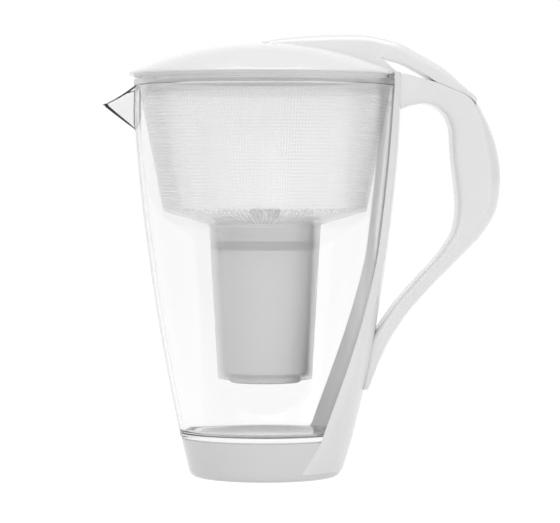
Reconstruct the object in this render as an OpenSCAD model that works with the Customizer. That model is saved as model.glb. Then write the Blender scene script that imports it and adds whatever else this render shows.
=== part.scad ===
// Water filter pitcher with a flip lid.
// The spout points along -X, the handle along +X, and +Z is up.
// The origin is at the centre of the foot, on the plane that the pitcher stands on.

/* [Jug] */
// Outer radius of the clear jug at its rim
jug_top_r = 81; // [76:0.5:86]
// Outer radius of the clear jug just above the base
jug_low_r = 51.8; // [48:0.2:56]
// How far the side swells out past a straight cone at mid height
jug_swell = 4.4; // [2:0.1:6]
// Height of the jug's rim above the table
rim_z = 240; // [232:1:250]
// Wall of the jug
jug_wall = 2.4; // [1.8:0.1:3.2]
// Thickness of the jug's floor
jug_floor = 3; // [2:0.5:5]
// Depth of the ring under the floor that plugs into the base
plug_h = 7; // [5:0.5:9]
// Outer radius of that ring
plug_r = 40; // [36:0.5:43]

/* [Spout] */
// How far the spout's tip stands out from the jug's axis
spout_reach = 99.5; // [95:0.5:104]
// Half width of the spout where it leaves the jug
spout_half_w = 17.5; // [14:0.5:20]
// Drop of the spout's tip below the rim
spout_tip_drop = 10.5; // [8:0.5:13]
// Drop of the spout's lower end on the jug below the rim
spout_keel_drop = 27.5; // [24:0.5:32]
// Wall of the spout
spout_wall = 2; // [1.6:0.1:2.6]

/* [Base] */
// Height of the base cup
base_h = 24.6; // [22:0.2:28]
// Outer radius of the base cup at its foot
base_foot_r = 45.4; // [43:0.2:48]
// Rounding of the base cup's foot
base_round = 4; // [2:0.5:5]
// Wall of the base cup
base_wall = 2.4; // [1.8:0.1:3]
// Thickness of the plate that closes the base from below
plate_t = 2; // [1.6:0.1:3]
// How far that plate is set up inside the cup
plate_inset = 1.4; // [1.2:0.1:1.8]
// Radius of the middle of the non-slip ring
foot_ring_r = 36; // [32:0.5:38]
// Width of the non-slip ring
foot_ring_w = 4; // [3:0.5:5]
// Depth of the groove that holds the non-slip ring
foot_groove = 0.8; // [0.5:0.1:1]

/* [Strap] */
// Thickness of the strap that lies on the jug
strap_t = 3.5; // [3:0.1:5]
// Thickness that is left of the strap at the foot of the base
strap_foot_t = 0.9; // [0.8:0.1:1.5]
// Height of the strap's top above the rim
strap_rise = 7.8; // [6.5:0.1:9]
// Half width of the strap from the rim down to where it starts to flare
strap_half_w = 25; // [22:0.5:28]
// Half width of the strap where it meets the base
strap_low_half_w = 40.5; // [36:0.5:43]
// Height at which the strap starts to flare
strap_flare_z = 137; // [120:1:150]

/* [Handle] */
// How far the grip stands out from the strap
handle_reach = 65.4; // [58:0.2:72]
// Height of the handle from its top to where it fades into the strap
handle_drop = 194; // [186:1:202]
// Width of the grip
grip_w = 27; // [24:0.5:30]
// Wall of the two handle shells
handle_wall = 2.4; // [1.8:0.1:3]

/* [Reservoir] */
// Wall of the reservoir
res_wall = 1.9; // [1.5:0.1:2.4]
// Gap between the reservoir and the jug's wall under the rim
res_clear = 1.3; // [0.8:0.1:2.5]
// How much narrower the reservoir is at its lower corner than under its flange
res_taper = 14.7; // [11:0.1:18]
// Height of the reservoir from its flange down to the lower corner
res_depth = 77; // [70:1:84]
// Drop of the sloping floor from the corner to the sleeve
res_floor_drop = 7.8; // [5:0.2:10]
// Thickness of the flange that rests on the jug's rim
flange_t = 3.5; // [2.5:0.1:4.5]
// How far the flange's edge stays inside the jug's rim
flange_inset = 0.6; // [0.4:0.1:1]
// Outer radius of the sleeve at its top
sleeve_top_r = 34.2; // [33:0.1:36]
// Outer radius of the sleeve at its bottom
sleeve_low_r = 29; // [28.5:0.1:30]
// Length of the sleeve
sleeve_len = 95; // [85:1:105]
// Width of the inward lip at the sleeve's bottom
sleeve_lip = 3.4; // [2.5:0.1:4]

/* [Lid] */
// How far the lid's edge stands out past the jug's rim
lid_over = 0.3; // [0:0.1:1]
// How far the lid's centre sits towards the spout
lid_shift = 2; // [1.5:0.1:2.5]
// Height of the lid's edge above the reservoir's flange
lid_gap = 2.5; // [1.5:0.1:3.5]
// Rise of the dome from the lid's edge to its crest
dome_rise = 18.2; // [15:0.2:20]
// Wall of the lid's shell and of the flap
lid_wall = 2.2; // [1.8:0.1:2.6]
// Depth of the lid's outer edge
lid_edge = 1.5; // [1:0.1:2]
// Thickness of the liner under the shell
liner_t = 1.6; // [1.2:0.1:2]
// Depth of the liner's skirt inside the reservoir
skirt_h = 8.5; // [6:0.5:11]
// Depth of the flat cut on each side of the dome
facet_cut = 1.1; // [0.6:0.1:1.2]

/* [Flap] */
// Radius of the flap's round plate
flap_r = 36; // [32:0.5:38]
// Place of the plate's centre along X
flap_x = 30; // [28:0.5:32]
// Width of the ledge that the flap's edge rests on
ledge_w = 3; // [2:0.1:4]
// Width of the fin that ends as the finger tail
fin_w = 26; // [24:0.5:27]
// Height of the fin's crest above the dome's crest
fin_rise = 5.5; // [4:0.1:7]
// Depth over which the fin's top is rounded
fin_round = 9; // [6:0.5:9]
// Wall of the fin
fin_wall = 2.2; // [1.8:0.1:2.6]
// Thickness of the cover under the tail
tail_cover_t = 1.8; // [1.4:0.1:2.2]
// Radius of the hinge pin
pin_r = 1.25; // [1:0.05:1.4]
// Radius of the flap's hinge knuckle
knuckle_r = 2.6; // [2.3:0.1:2.8]
// Length of the flap's hinge knuckle
knuckle_len = 24; // [18:0.5:25]
// Width of each hinge ear
ear_w = 5; // [4:0.5:6]

/* [Cartridge] */
// Gap between the cartridge's cup and the outside of the sleeve, at the top
cup_top_gap = 3.8; // [3.4:0.1:4.6]
// The same gap at the bottom
cup_low_gap = 2.8; // [2.6:0.1:4]
// Wall of the cup
cup_wall = 1.6; // [1.2:0.1:2]
// Height of the cup
cup_h = 92; // [86:1:96]
// Radius of the cup's outlet boss
outlet_r = 22; // [20:0.5:23]
// How far the outlet boss stands out below the sleeve
outlet_drop = 2.2; // [1:0.1:4]
// How far the cap's flange stands out past the sleeve
cap_over = 0.6; // [0:0.1:1.6]
// Thickness of the cap's flange
cap_flange_t = 1.8; // [1.4:0.1:2.2]
// Height of the finger grip on the cap
grip_h = 5; // [3:0.5:5.5]
// Height of the seal ring
seal_h = 5; // [4:0.5:6]
// Thickness of each fine screen
screen_t = 0.6; // [0.4:0.1:1]
// Number of inlet slots round the cap
slot_n = 12; // [8:1:16]

/* [Fits] */
// Gap between fixed pieces that lie against each other
fit = 0.1; // [0.05:0.05:0.2]
// Gap between pieces that move past each other
move_gap = 0.4; // [0.3:0.05:0.5]
// Clearance of the hinge pin in the flap's knuckle
pin_gap = 0.06; // [0.03:0.01:0.1]

/* [Hidden] */
$fn = 96;

clear_color = [0.88, 0.92, 0.94, 0.35];
frost_color = [0.90, 0.92, 0.93, 0.60];
white_color = [0.93, 0.93, 0.93];
grey_color = [0.78, 0.78, 0.79];
rubber_color = [0.55, 0.55, 0.56];

// Radii that follow the jug's rim
res_top_r = jug_top_r - jug_wall - res_clear;
res_low_r = res_top_r - res_taper;
flange_r = jug_top_r - flange_inset;
lid_r = jug_top_r + lid_over;
cup_top_r = sleeve_top_r - cup_top_gap;
cup_low_r = sleeve_low_r - cup_low_gap;
cap_flange_r = sleeve_top_r + cap_over;

// Heights that several pieces share
seat_z = rim_z + fit;
flange_top_z = seat_z + flange_t;
lid_edge_z = flange_top_z + lid_gap;
crest_z = lid_edge_z + lid_edge + dome_rise;
corner_z = rim_z - res_depth;
sleeve_top_z = corner_z - res_floor_drop;
sleeve_bottom_z = sleeve_top_z - sleeve_len;
strap_top_z = rim_z + strap_rise;

// Radius of the jug's outside at height z: a straight line plus a parabola that swells it
function jug_r(z) = let (s = min(max((z - base_h) / (rim_z - base_h), 0), 1))
    jug_low_r + (jug_top_r - jug_low_r) * s + 4 * jug_swell * s * (1 - s);
jug_steps = 16;
jug_zs = [for (i = [0:jug_steps]) base_h + (rim_z - base_h) * i / jug_steps];

// A point between two values
function mix(a, b, t) = a + (b - a) * t;

// A smooth curve through the points p, at t from 0 to 1 across all of them
function through(p, t) = let (
        n = len(p) - 1,
        u = min(max(t, 0), 1) * n,
        i = min(floor(u), n - 1),
        f = u - i,
        a = p[max(i - 1, 0)], b = p[i], c = p[i + 1], d = p[min(i + 2, n)])
    0.5 * (2 * b + f * (c - a) + f * f * (2 * a - 5 * b + 4 * c - d)
           + f * f * f * (3 * b - a - 3 * c + d));

// Quads between rings of equal length, cut into triangles, with the first and last ring closed
// by strips between its two halves
module loft(rings) {
    m = len(rings[0]);
    n = len(rings);
    points = [for (ring = rings) for (p = ring) p];
    sides = [for (i = [0:n - 2]) for (j = [0:m - 1]) let (
            a = i * m + j, b = i * m + (j + 1) % m, c = a + m, d = b + m)
        each [[a, c, b], [b, c, d]]];
    half = ceil(m / 2);
    first = [for (j = [0:half - 2]) let (a = j, b = j + 1, c = m - 1 - j, d = m - 2 - j)
        each (b == d ? [[a, b, c]] : [[a, b, c], [b, d, c]])];
    shift = (n - 1) * m;
    last = [for (f = first) [f[2] + shift, f[1] + shift, f[0] + shift]];
    polyhedron(points, concat(sides, first, last), convexity = 8);
}

// Power of a sine or cosine that squares off an ellipse
function squared(v, n) = sign(v) * pow(abs(v), 2 / n);

// The jug

module jug_outside(grow = 0, top = rim_z) {
    outline = [for (z = jug_zs) [jug_r(z) + grow, z]];
    rotate_extrude()
        polygon(concat([[0, base_h], each outline],
                       top > rim_z ? [[jug_top_r + grow, top]] : [], [[0, top]]));
}

module jug_inside() {
    low = base_h + jug_floor;
    zs = [for (z = jug_zs) if (z > low + 1) z];
    rotate_extrude()
        polygon([[0, low], [jug_r(low) - jug_wall - 2, low], [jug_r(low + 2) - jug_wall, low + 2],
                 each [for (z = zs) if (z > low + 3) [jug_r(z) - jug_wall, z]],
                 [jug_top_r - jug_wall, rim_z + 1], [0, rim_z + 1]]);
}

// The V-shaped spout: inset moves its faces inwards to leave the wall
module spout_body(inset = 0, over = 0) {
    back_x = -(jug_top_r - 5);
    tip_x = -(spout_reach - 2.4 * inset);
    half = spout_half_w - 1.2 * inset;
    top_z = rim_z - 1 + over;
    tip_z = rim_z - spout_tip_drop + over;
    tip_low_z = rim_z - spout_tip_drop - 2.4 + 1.6 * inset;
    keel_z = rim_z - spout_keel_drop + 1.6 * inset;
    nose = 0.7;
    points = [[back_x, -half, top_z], [back_x, half, top_z], [back_x, 0, keel_z - 4 + inset],
              [tip_x, -nose, tip_z], [tip_x, nose, tip_z], [tip_x, 0, tip_low_z]];
    polyhedron(points, [[4, 1, 0], [3, 4, 0], [5, 2, 1], [4, 5, 1], [3, 0, 2], [5, 3, 2],
                        [1, 2, 0], [5, 4, 3]]);
}

module clear_jug() {
    color(clear_color)
    difference() {
        union() {
            jug_outside();
            spout_body();
            translate([0, 0, base_h - plug_h]) cylinder(r = plug_r, h = plug_h + 1);
        }
        jug_inside();
        spout_body(spout_wall, 2.5);
        translate([0, 0, base_h - plug_h - 1]) cylinder(r = plug_r - jug_wall, h = plug_h + 1);
    }
}

// The base

function base_r(z) = mix(base_foot_r, jug_low_r, z / base_h);

module base_cup() {
    deck_t = base_wall;
    deck_z = base_h - fit;
    plug_hole_r = plug_r + fit;
    color(white_color)
    rotate_extrude() polygon([
        [base_foot_r - base_round, 0],
        [base_foot_r - base_round * 0.4, base_round * 0.25],
        [base_r(base_round), base_round],
        [jug_low_r, deck_z],
        [plug_hole_r, deck_z],
        [plug_hole_r, deck_z - plug_h - 1],
        [plug_hole_r + base_wall, deck_z - plug_h - 1],
        [plug_hole_r + base_wall, deck_z - deck_t],
        [jug_low_r - base_wall, deck_z - deck_t],
        [base_r(base_round) - base_wall, base_round],
        [base_foot_r - base_round - 0.5, plate_inset + plate_t],
        [base_foot_r - base_round - 0.5, 0]]);
}

plate_r = base_foot_r - base_round - 0.5 - fit;

module base_plate() {
    color(white_color)
    difference() {
        translate([0, 0, plate_inset]) cylinder(r = plate_r, h = plate_t);
        translate([0, 0, plate_inset]) ring_body(foot_ring_r, foot_ring_w + 2 * fit, foot_groove);
    }
}

module ring_body(mid_r, width, h) {
    rotate_extrude()
        polygon([[mid_r - width / 2, 0], [mid_r + width / 2, 0],
                 [mid_r + width / 2, h], [mid_r - width / 2, h]]);
}

module foot_ring() {
    color(rubber_color)
    ring_body(foot_ring_r, foot_ring_w, plate_inset + foot_groove - fit);
}

// The strap and the handle

// Half width of the strap at height z: even under the rim, then flared towards the base in a
// quarter wave
function strap_half(z) = let (s = min(max((strap_flare_z - z) / (strap_flare_z - base_h), 0), 1))
    strap_half_w + (strap_low_half_w - strap_half_w) * sin(90 * pow(s, 1.15));

// Thickness of the strap at height z: full on the jug, thin at the foot
function strap_thick(z) = mix(strap_foot_t, strap_t, min(max(z / (base_h * 2.6), 0), 1));

strap_foot_z = base_round + 0.5;
strap_zs = [strap_foot_z, base_h / 2, each jug_zs, strap_top_z];

function outside_r(z) = z < base_h ? base_r(z) : jug_r(z);

module strap() {
    outline = [for (z = strap_zs) [strap_half(z) * (z < base_h ? 1 + (base_h - z) * 0.004 : 1), z]];
    mirrored = [for (i = [len(outline) - 1:-1:0]) [-outline[i][0], outline[i][1]]];
    intersection() {
        rotate_extrude()
            polygon(concat([for (z = strap_zs) [outside_r(z) + fit, z]],
                           [for (i = [len(strap_zs) - 1:-1:0]) let (z = strap_zs[i])
                               [outside_r(z) + strap_thick(z), z]]));
        rotate([90, 0, 90]) linear_extrude(jug_top_r + 20) polygon(concat(outline, mirrored));
    }
}

// The handle's outline as seen from the side. Each row holds the finger side and the outer side
// as a share of the reach and of the drop, then a share of the grip's width and how square it is.
handle_rows = [
    [0.00, 0.115, 0.012, 0.004, 1.08, 5],
    [0.10, 0.103, 0.12, 0.014, 1.04, 5],
    [0.21, 0.098, 0.31, 0.030, 1.00, 5],
    [0.33, 0.110, 0.45, 0.047, 1.00, 5],
    [0.415, 0.135, 0.58, 0.060, 1.00, 5],
    [0.45, 0.155, 0.69, 0.084, 1.00, 4],
    [0.48, 0.185, 0.815, 0.148, 1.00, 3],
    [0.50, 0.235, 0.91, 0.216, 1.00, 2.6],
    [0.525, 0.285, 0.975, 0.288, 1.00, 2.6],
    [0.575, 0.365, 1.00, 0.360, 1.00, 2.6],
    [0.61, 0.435, 0.983, 0.440, 1.00, 2.6],
    [0.60, 0.498, 0.88, 0.514, 0.96, 2.6],
    [0.545, 0.540, 0.76, 0.563, 0.93, 2.6],
    [0.455, 0.590, 0.62, 0.618, 0.90, 2.6],
    [0.335, 0.640, 0.48, 0.673, 0.89, 2.6],
    [0.155, 0.722, 0.305, 0.752, 0.90, 2.6],
    [0.07, 0.786, 0.214, 0.806, 0.93, 2.6],
    [0.00, 0.850, 0.148, 0.857, 0.97, 2.6],
    [-0.025, 0.920, 0.088, 0.924, 1.02, 2.6],
    [-0.020, 1.000, 0.035, 1.000, 1.08, 2.6]];
handle_n = 40;

function handle_row(t) = through(handle_rows, t);
// A place given as a share of the reach and of the drop, in the plane of symmetry
function handle_spot(u, v) = let (z = strap_top_z - v * handle_drop)
    [jug_r(z) + strap_t + u * handle_reach, z];
function handle_inner(row) = handle_spot(row[0], row[1]);
function handle_outer(row) = handle_spot(row[2], row[3]);

// Half a ring of the handle's section, with the wall's inner face as the way back. side is 1
// for the outer half and -1 for the finger half.
function handle_ring(t, side) = let (
        row = handle_row(t),
        a = handle_inner(row), b = handle_outer(row),
        mid = (a + b) / 2,
        h = norm(b - a) / 2,
        dir = (b - a) / (2 * h),
        w = row[4] * grip_w / 2,
        wall = min(handle_wall, h * 0.7),
        steps = 10,
        outer = [for (k = [0:steps]) let (p = 180 * k / steps)
            [squared(cos(p), row[5]) * w, side * squared(sin(p), row[5]) * h]],
        inner = [for (k = [steps:-1:0]) let (p = 180 * k / steps)
            [squared(cos(p), row[5]) * (w - handle_wall), side * squared(sin(p), row[5]) * (h - wall)]])
    [for (q = concat(outer, inner)) [mid[0] + dir[0] * q[1], q[0], mid[1] + dir[1] * q[1]]];

module handle_half(side, from_t, to_t) {
    start = handle_ring(from_t, side);
    // The finger half starts inside the strap
    sunk = side < 0 ? [[for (q = start) [q[0] - strap_t * 0.7, q[1], q[2]]]] : [];
    steps = round((to_t - from_t) * handle_n);
    rings = concat(sunk, [for (i = [0:steps]) handle_ring(mix(from_t, to_t, i / steps), side)]);
    // The finger half winds the other way round, so its rings are taken in reverse order
    loft(side > 0 ? rings : [for (i = [len(rings) - 1:-1:0]) rings[i]]);
}

// Block on the strap that the handle's web springs from, inside the two halves
module handle_root() {
    top = handle_outer(handle_row(0));
    low = handle_inner(handle_row(0));
    translate([jug_r(rim_z) + strap_t * 0.3, -grip_w * 0.47, low[1] + 1])
        cube([strap_t * 0.7 + 1, grip_w * 0.94, top[1] - low[1] - 1.8]);
}

module handle_spine() {
    color(white_color)
    union() {
        strap();
        handle_half(-1, 0, 1);
        handle_root();
    }
}

module handle_cover() {
    color(white_color)
    handle_half(1, 1 / handle_n, 1 - 1 / handle_n);
}

// The reservoir

module reservoir() {
    slope = (res_top_r - res_low_r) / res_depth;
    neck_r = sleeve_top_r + 1.8;
    bottom_in_r = sleeve_low_r - res_wall;
    color(frost_color)
    rotate_extrude() polygon([
        [flange_r, seat_z], [flange_r, flange_top_z],
        [res_top_r - res_wall + slope, flange_top_z],
        [res_low_r - res_wall + 0.4, corner_z + 1.4],
        [res_low_r - res_wall - 1.6, corner_z + 0.4 + res_wall * 0.6],
        [neck_r - 0.4, sleeve_top_z + res_wall],
        [sleeve_top_r - res_wall, sleeve_top_z - 1],
        [bottom_in_r, sleeve_bottom_z + res_wall],
        [bottom_in_r - sleeve_lip, sleeve_bottom_z + res_wall],
        [bottom_in_r - sleeve_lip, sleeve_bottom_z],
        [sleeve_low_r - 1, sleeve_bottom_z],
        [sleeve_low_r, sleeve_bottom_z + 1],
        [sleeve_top_r, sleeve_top_z - 1.6],
        [neck_r, sleeve_top_z],
        [res_low_r - 1.6, corner_z - 0.6],
        [res_low_r, corner_z + 0.8],
        [res_top_r, seat_z]]);
}

// The lid

// The dome is part of a sphere through the lid's edge and its crest
dome_r = (lid_r * lid_r + dome_rise * dome_rise) / (2 * dome_rise);
dome_centre_z = crest_z - dome_r;
function dome_z(x, y = 0) = dome_centre_z + sqrt(dome_r * dome_r - pow(x + lid_shift, 2) - y * y);

// The part of the ball under the dome that is left after taking depth off its surface
module dome_ball(depth = 0) {
    translate([-lid_shift, 0, dome_centre_z]) sphere(r = dome_r - depth, $fn = 180);
}

module lid_disc(r, z0, z1) {
    translate([-lid_shift, 0, z0]) cylinder(r = r, h = z1 - z0);
}

hinge_x = -0.5;
hinge_z = crest_z - 1.7;
hinge_back_x = hinge_x + knuckle_r + 2;

// Upright prism over the mouth: a round hole, cut straight behind the hinge
module mouth(r, front_x) {
    intersection() {
        translate([flap_x, 0, lid_edge_z - dome_rise]) cylinder(r = r, h = 3 * dome_rise);
        translate([front_x, -lid_r, lid_edge_z - dome_rise])
            cube([1.5 * lid_r, 2 * lid_r, 3 * dome_rise]);
    }
}

module hinge_slot(half_w, front, z0) {
    translate([hinge_x - front, -half_w, z0]) cube([hinge_back_x + 1 - hinge_x + front, 2 * half_w, 2.2 * dome_rise]);
}

module lid_facet(side) {
    // A flat cut that is tilted with the dome and leaves a lens on its side
    mid_r = lid_r * 0.82;
    drop = dome_r - sqrt(dome_r * dome_r - mid_r * mid_r);
    tilt = asin(mid_r / dome_r);
    translate([-lid_shift, side * mid_r, crest_z - drop])
        rotate([side * -tilt, 0, 0])
            translate([-1.1 * lid_r, -0.75 * lid_r, -facet_cut])
                cube([2.2 * lid_r, 1.5 * lid_r, dome_rise]);
}

module ear(side) {
    y = side * (knuckle_len / 2 + move_gap + ear_w / 2);
    translate([hinge_x - 3.4, y - ear_w / 2, hinge_z - 2.9])
        cube([hinge_back_x - hinge_x + 3.4 - move_gap, ear_w, 3.6]);
}

pin_len = knuckle_len + 2 * (move_gap + ear_w) - 1;

module pin_body(r) {
    translate([hinge_x, pin_len / 2, hinge_z]) rotate([90, 0, 0]) cylinder(r = r, h = pin_len);
}

module lid_shell() {
    color(white_color)
    difference() {
        union() {
            difference() {
                intersection() {
                    dome_ball();
                    lid_disc(lid_r, lid_edge_z, crest_z + 5);
                }
                intersection() {
                    dome_ball(lid_wall);
                    lid_disc(lid_r - lid_wall, lid_edge_z - 1, crest_z + 5);
                }
                lid_facet(1);
                lid_facet(-1);
                mouth(flap_r + move_gap, hinge_back_x);
                hinge_slot(knuckle_len / 2 + move_gap, knuckle_r + move_gap, lid_edge_z);
            }
            ear(1);
            ear(-1);
        }
        pin_body(pin_r);
    }
}

liner_r = lid_r - lid_wall - 0.8;
liner_depth = lid_wall + fit;
skirt_r = res_top_r - 2 * res_wall;

module lid_liner() {
    color(white_color)
    difference() {
        union() {
            difference() {
                intersection() {
                    dome_ball(liner_depth);
                    lid_disc(liner_r, lid_edge_z - 1, crest_z);
                }
                dome_ball(liner_depth + liner_t);
            }
            intersection() {
                dome_ball(liner_depth);
                difference() {
                    translate([0, 0, flange_top_z + fit])
                        cylinder(r = skirt_r + 2, h = crest_z - flange_top_z);
                    translate([0, 0, flange_top_z])
                        cylinder(r = skirt_r - lid_wall, h = crest_z - flange_top_z);
                }
            }
            intersection() {
                dome_ball(liner_depth);
                difference() {
                    translate([0, 0, flange_top_z - skirt_h])
                        cylinder(r = skirt_r, h = crest_z - flange_top_z + skirt_h);
                    translate([0, 0, flange_top_z - skirt_h - 1])
                        cylinder(r = skirt_r - lid_wall, h = crest_z - flange_top_z + skirt_h + 2);
                }
            }
        }
        mouth(flap_r - ledge_w, hinge_back_x + 1);
        hinge_slot(knuckle_len / 2 + move_gap + ear_w + 1, 6, hinge_z - 6);
    }
}

module hinge_pin() {
    color(grey_color)
    pin_body(pin_r);
}

// The flap

// Crest of the fin along X, as seen from the side, from the hinge to the tail's tip
tail_tip = handle_outer(handle_row(5 / (len(handle_rows) - 1)));
fin_top_z = crest_z + fin_rise;
rim_x = lid_r - lid_shift;
over = tail_tip[0] - rim_x;
fin_crest = [
    [hinge_x, hinge_z + knuckle_r - 0.1],
    [hinge_x + 5, crest_z + fin_rise * 0.48],
    [hinge_x + 15, crest_z + fin_rise * 0.76],
    [rim_x * 0.38, fin_top_z - 0.3],
    [rim_x * 0.58, fin_top_z],
    [rim_x * 0.78, fin_top_z - 0.4],
    [rim_x * 0.90, fin_top_z - 2.4],
    [rim_x + over * 0.06, fin_top_z - 5.4],
    [rim_x + over * 0.24, mix(fin_top_z, tail_tip[1], 0.25)],
    [rim_x + over * 0.42, mix(fin_top_z, tail_tip[1], 0.375)],
    [rim_x + over * 0.62, mix(fin_top_z, tail_tip[1], 0.53)],
    [rim_x + over * 0.82, mix(fin_top_z, tail_tip[1], 0.755)],
    [tail_tip[0], tail_tip[1] + 1.2]];
fin_n = 40;

// Half a ring of the fin at t along its crest, open at the bottom at height low
function fin_ring(t, inset, low) = let (
        p = through(fin_crest, t),
        w = fin_w / 2 * mix(0.88, 1, min(p[0] / rim_x, 1)) - inset,
        top = p[1] - inset,
        s = max((p[0] - rim_x) / over, 0),
        h = min(fin_round * (1 - 0.87 * s * s), max(top - low - 0.2, 0.2)),
        steps = 12,
        arc = [for (k = [0:steps]) let (a = 180 * k / steps)
            [squared(cos(a), 2.8) * w, top - h + squared(sin(a), 2.8) * h]])
    [for (q = concat([[w, low]], arc, [[-w, low]])) [p[0], q[0], q[1]]];

// Share of the way along the crest at which it is over x
function crest_t(x) = lookup(x, [for (i = [0:len(fin_crest) - 1])
    [fin_crest[i][0], i / (len(fin_crest) - 1)]]);
plate_back_x = flap_x + sqrt(flap_r * flap_r - fin_w * fin_w / 4);
fin_cut_x = plate_back_x - 1.5;
deep_z = strap_top_z - 0.155 * handle_drop;

// The fin between two shares of its crest. Its sides reach down by sink into the flap's plate, and
// behind the plate below anything that they are then cut by.
module fin_solid(inset, from_t, to_t, sink) {
    step = (to_t - from_t) / fin_n;
    rings = [for (i = [0:fin_n]) let (t = from_t + i * step, x = through(fin_crest, t)[0],
                                      x_before = through(fin_crest, t - step)[0])
        fin_ring(t, inset, x_before < fin_cut_x ? dome_z(x, fin_w / 2) - sink : deep_z)];
    loft(rings);
}

// Cut between the tail and the handle: a slit behind the rim for the fingers, then the line on
// which the tail sits on the handle. lift moves its upper edge up.
slit_front = [rim_x - 9.5, dome_z(rim_x - 9.5) + 5.4];
slit_root = [rim_x + 0.2, dome_z(rim_x) + move_gap];
slit_end = handle_outer(handle_row(2 / (len(handle_rows) - 1)));
slit_mid = [mix(slit_front[0], slit_end[0], 0.45), mix(slit_front[1], slit_end[1], 0.28)];
function under_tail(lift) = concat(
    [for (i = [0:6]) let (q = through([slit_front, slit_mid, slit_end], i / 6)) [q[0], q[1] + move_gap + lift]],
    [for (i = [1:9]) let (q = handle_outer(handle_row(mix(2, 5.3, i / 9) / (len(handle_rows) - 1))))
        [q[0], q[1] + move_gap + lift]]);

module upright(outline, half_w) {
    translate([0, half_w, 0]) rotate([90, 0, 0]) linear_extrude(2 * half_w) polygon(outline);
}

module tail_cut() {
    upright(concat([slit_root], under_tail(0),
                   [[tail_tip[0] + 12, tail_tip[1] - 12], [tail_tip[0] + 12, deep_z - 5],
                    [slit_root[0], deep_z - 5]]),
            grip_w);
}

module flap_shell() {
    color(white_color)
    difference() {
        union() {
            difference() {
                fin_solid(0, 0, 1, lid_wall * 0.6);
                intersection() {
                    dome_ball(-move_gap);
                    translate([fin_cut_x, -fin_w, deep_z - 5])
                        cube([handle_reach, 2 * fin_w, fin_top_z - deep_z + 10]);
                }
                fin_solid(fin_wall, crest_t(hinge_x + 9), crest_t(fin_cut_x - 3), -0.6);
                fin_solid(fin_wall, crest_t(fin_cut_x + 1), 0.97, 0);
                tail_cut();
            }
            difference() {
                intersection() {
                    dome_ball();
                    mouth(flap_r, hinge_back_x + move_gap);
                }
                dome_ball(lid_wall);
            }
            translate([hinge_x, knuckle_len / 2, hinge_z])
                rotate([90, 0, 0]) cylinder(r = knuckle_r, h = knuckle_len);
            translate([hinge_x, -knuckle_len / 2, hinge_z - 0.6])
                cube([hinge_back_x - hinge_x + 2, knuckle_len, 2.2]);
        }
        pin_body(pin_r + pin_gap);
    }
}

module flap_liner() {
    color(white_color)
    difference() {
        intersection() {
            dome_ball(lid_wall + fit);
            mouth(flap_r - ledge_w - 1, hinge_back_x + 3);
        }
        dome_ball(lid_wall + fit + liner_t);
    }
}

module tail_cover() {
    // A strip between the fin's side walls, level with their lower edges
    upper = under_tail(tail_cover_t);
    lower = under_tail(0);
    first = 3;
    last = len(lower) - 9;
    color(white_color)
    upright(concat([for (i = [first:last]) upper[i]], [for (i = [last:-1:first]) lower[i]]),
            fin_w / 2 - fin_wall - 6 * fit);
}

// The cartridge

outlet_z = sleeve_bottom_z - outlet_drop;
cup_floor_z = sleeve_bottom_z + res_wall + move_gap;
cup_top_z = cup_floor_z + cup_h - 2;
flange_seat_z = sleeve_top_z + res_wall + move_gap;
seal_z = cup_top_z - 8 - seal_h;
function cup_r(z) = mix(cup_low_r, cup_top_r, (z - cup_floor_z) / (cup_top_z - cup_floor_z));

module cartridge_cup() {
    seal_depth = 0.6;
    color(grey_color)
    difference() {
        rotate_extrude() polygon([
            [0, outlet_z], [outlet_r - 1, outlet_z], [outlet_r, outlet_z + 1],
            [outlet_r, cup_floor_z], [cup_low_r - 1.5, cup_floor_z], [cup_low_r, cup_floor_z + 1.5],
            [cup_r(seal_z), seal_z], [cup_r(seal_z) - seal_depth, seal_z],
            [cup_r(seal_z + seal_h) - seal_depth, seal_z + seal_h],
            [cup_r(seal_z + seal_h), seal_z + seal_h],
            [cup_top_r, cup_top_z], [cup_top_r - cup_wall, cup_top_z],
            [cup_low_r - cup_wall, cup_floor_z + 3.5], [outlet_r - cup_wall, cup_floor_z + 2],
            [outlet_r - cup_wall, outlet_z + cup_wall], [0, outlet_z + cup_wall]]);
        for (k = [0:slot_n - 1])
            rotate([0, 0, 360 * k / slot_n])
                translate([6, -0.8, outlet_z - 1]) cube([outlet_r - cup_wall - 8, 1.6, cup_wall + 2]);
    }
}

module cartridge_seal() {
    seal_depth = 0.6;
    color(rubber_color)
    rotate_extrude() polygon([
        [cup_r(seal_z) - seal_depth + fit / 2, seal_z + fit],
        [cup_r(seal_z) + 0.35, seal_z + fit],
        [cup_r(seal_z + seal_h) + 0.35, seal_z + seal_h - fit],
        [cup_r(seal_z + seal_h) - seal_depth + fit / 2, seal_z + seal_h - fit]]);
}

cap_top_z = flange_seat_z + cap_flange_t;

module cartridge_cap() {
    plug_top_r = cup_top_r - cup_wall - fit;
    plug_low_r = cup_r(cup_top_z - 4) - cup_wall - 2 * fit;
    grip_half = 9;
    color(grey_color)
    difference() {
        union() {
            rotate_extrude() polygon([
                [plug_low_r, cup_top_z - 4], [plug_top_r, cup_top_z + fit],
                [cup_top_r, cup_top_z + fit], [cup_top_r, flange_seat_z],
                [cap_flange_r, flange_seat_z], [cap_flange_r, cap_top_z],
                [0, cap_top_z], [0, cap_top_z - 1.6], [cup_top_r - cup_wall, cap_top_z - 1.6],
                [plug_top_r - 1.4, cup_top_z - 4]]);
            translate([-grip_half, -1.2, cap_top_z - 0.5]) cube([2 * grip_half, 2.4, grip_h + 0.5]);
        }
        for (k = [0:slot_n - 1])
            rotate([0, 0, 360 * (k + 0.5) / slot_n])
                translate([12, -0.9, cap_top_z - 3]) cube([plug_top_r - 14, 1.8, 5]);
        translate([0, 5, cap_top_z + grip_h * 0.45])
            rotate([90, 0, 0]) cylinder(r = grip_h * 0.28, h = 10);
    }
}

media_top_z = cup_top_z - 5 - screen_t - fit;

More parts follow.
